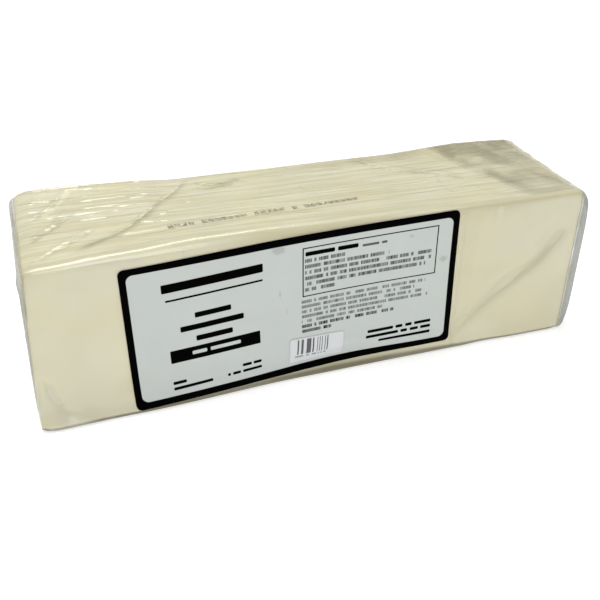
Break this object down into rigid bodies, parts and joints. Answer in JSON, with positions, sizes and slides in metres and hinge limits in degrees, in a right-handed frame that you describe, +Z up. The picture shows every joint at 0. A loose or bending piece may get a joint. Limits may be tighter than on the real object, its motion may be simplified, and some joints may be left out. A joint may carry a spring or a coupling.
{
  "type": "pack of sliced cheese",
  "caption": "Long loaf of stacked white cheese slices sealed tight in clear film, standing on its long side, with a pale black-bordered label on the front.",
  "frame": {"origin": "bottom centre of the pack", "axes": "+X along the loaf, to the right as the label is read; +Y from the label to the back; +Z up"},
  "size_m": [0.3015, 0.0868, 0.0922],
  "materials": {
    "cheese_in_film": "pale cream cheese under glossy clear film",
    "label_field": "pale grey satin label",
    "black_ink": "black print, satin",
    "sticker": "white satin sticker",
    "clear_film": "clear, glossy, tight and creased"
  },
  "bodies": {
    "root": {"sealed_pack": "cheese_in_film", "label": "label_field", "label_border": "black_ink", "label_bar": "black_ink", "barcode_sticker": "sticker"}
  },
  "joints": []
}
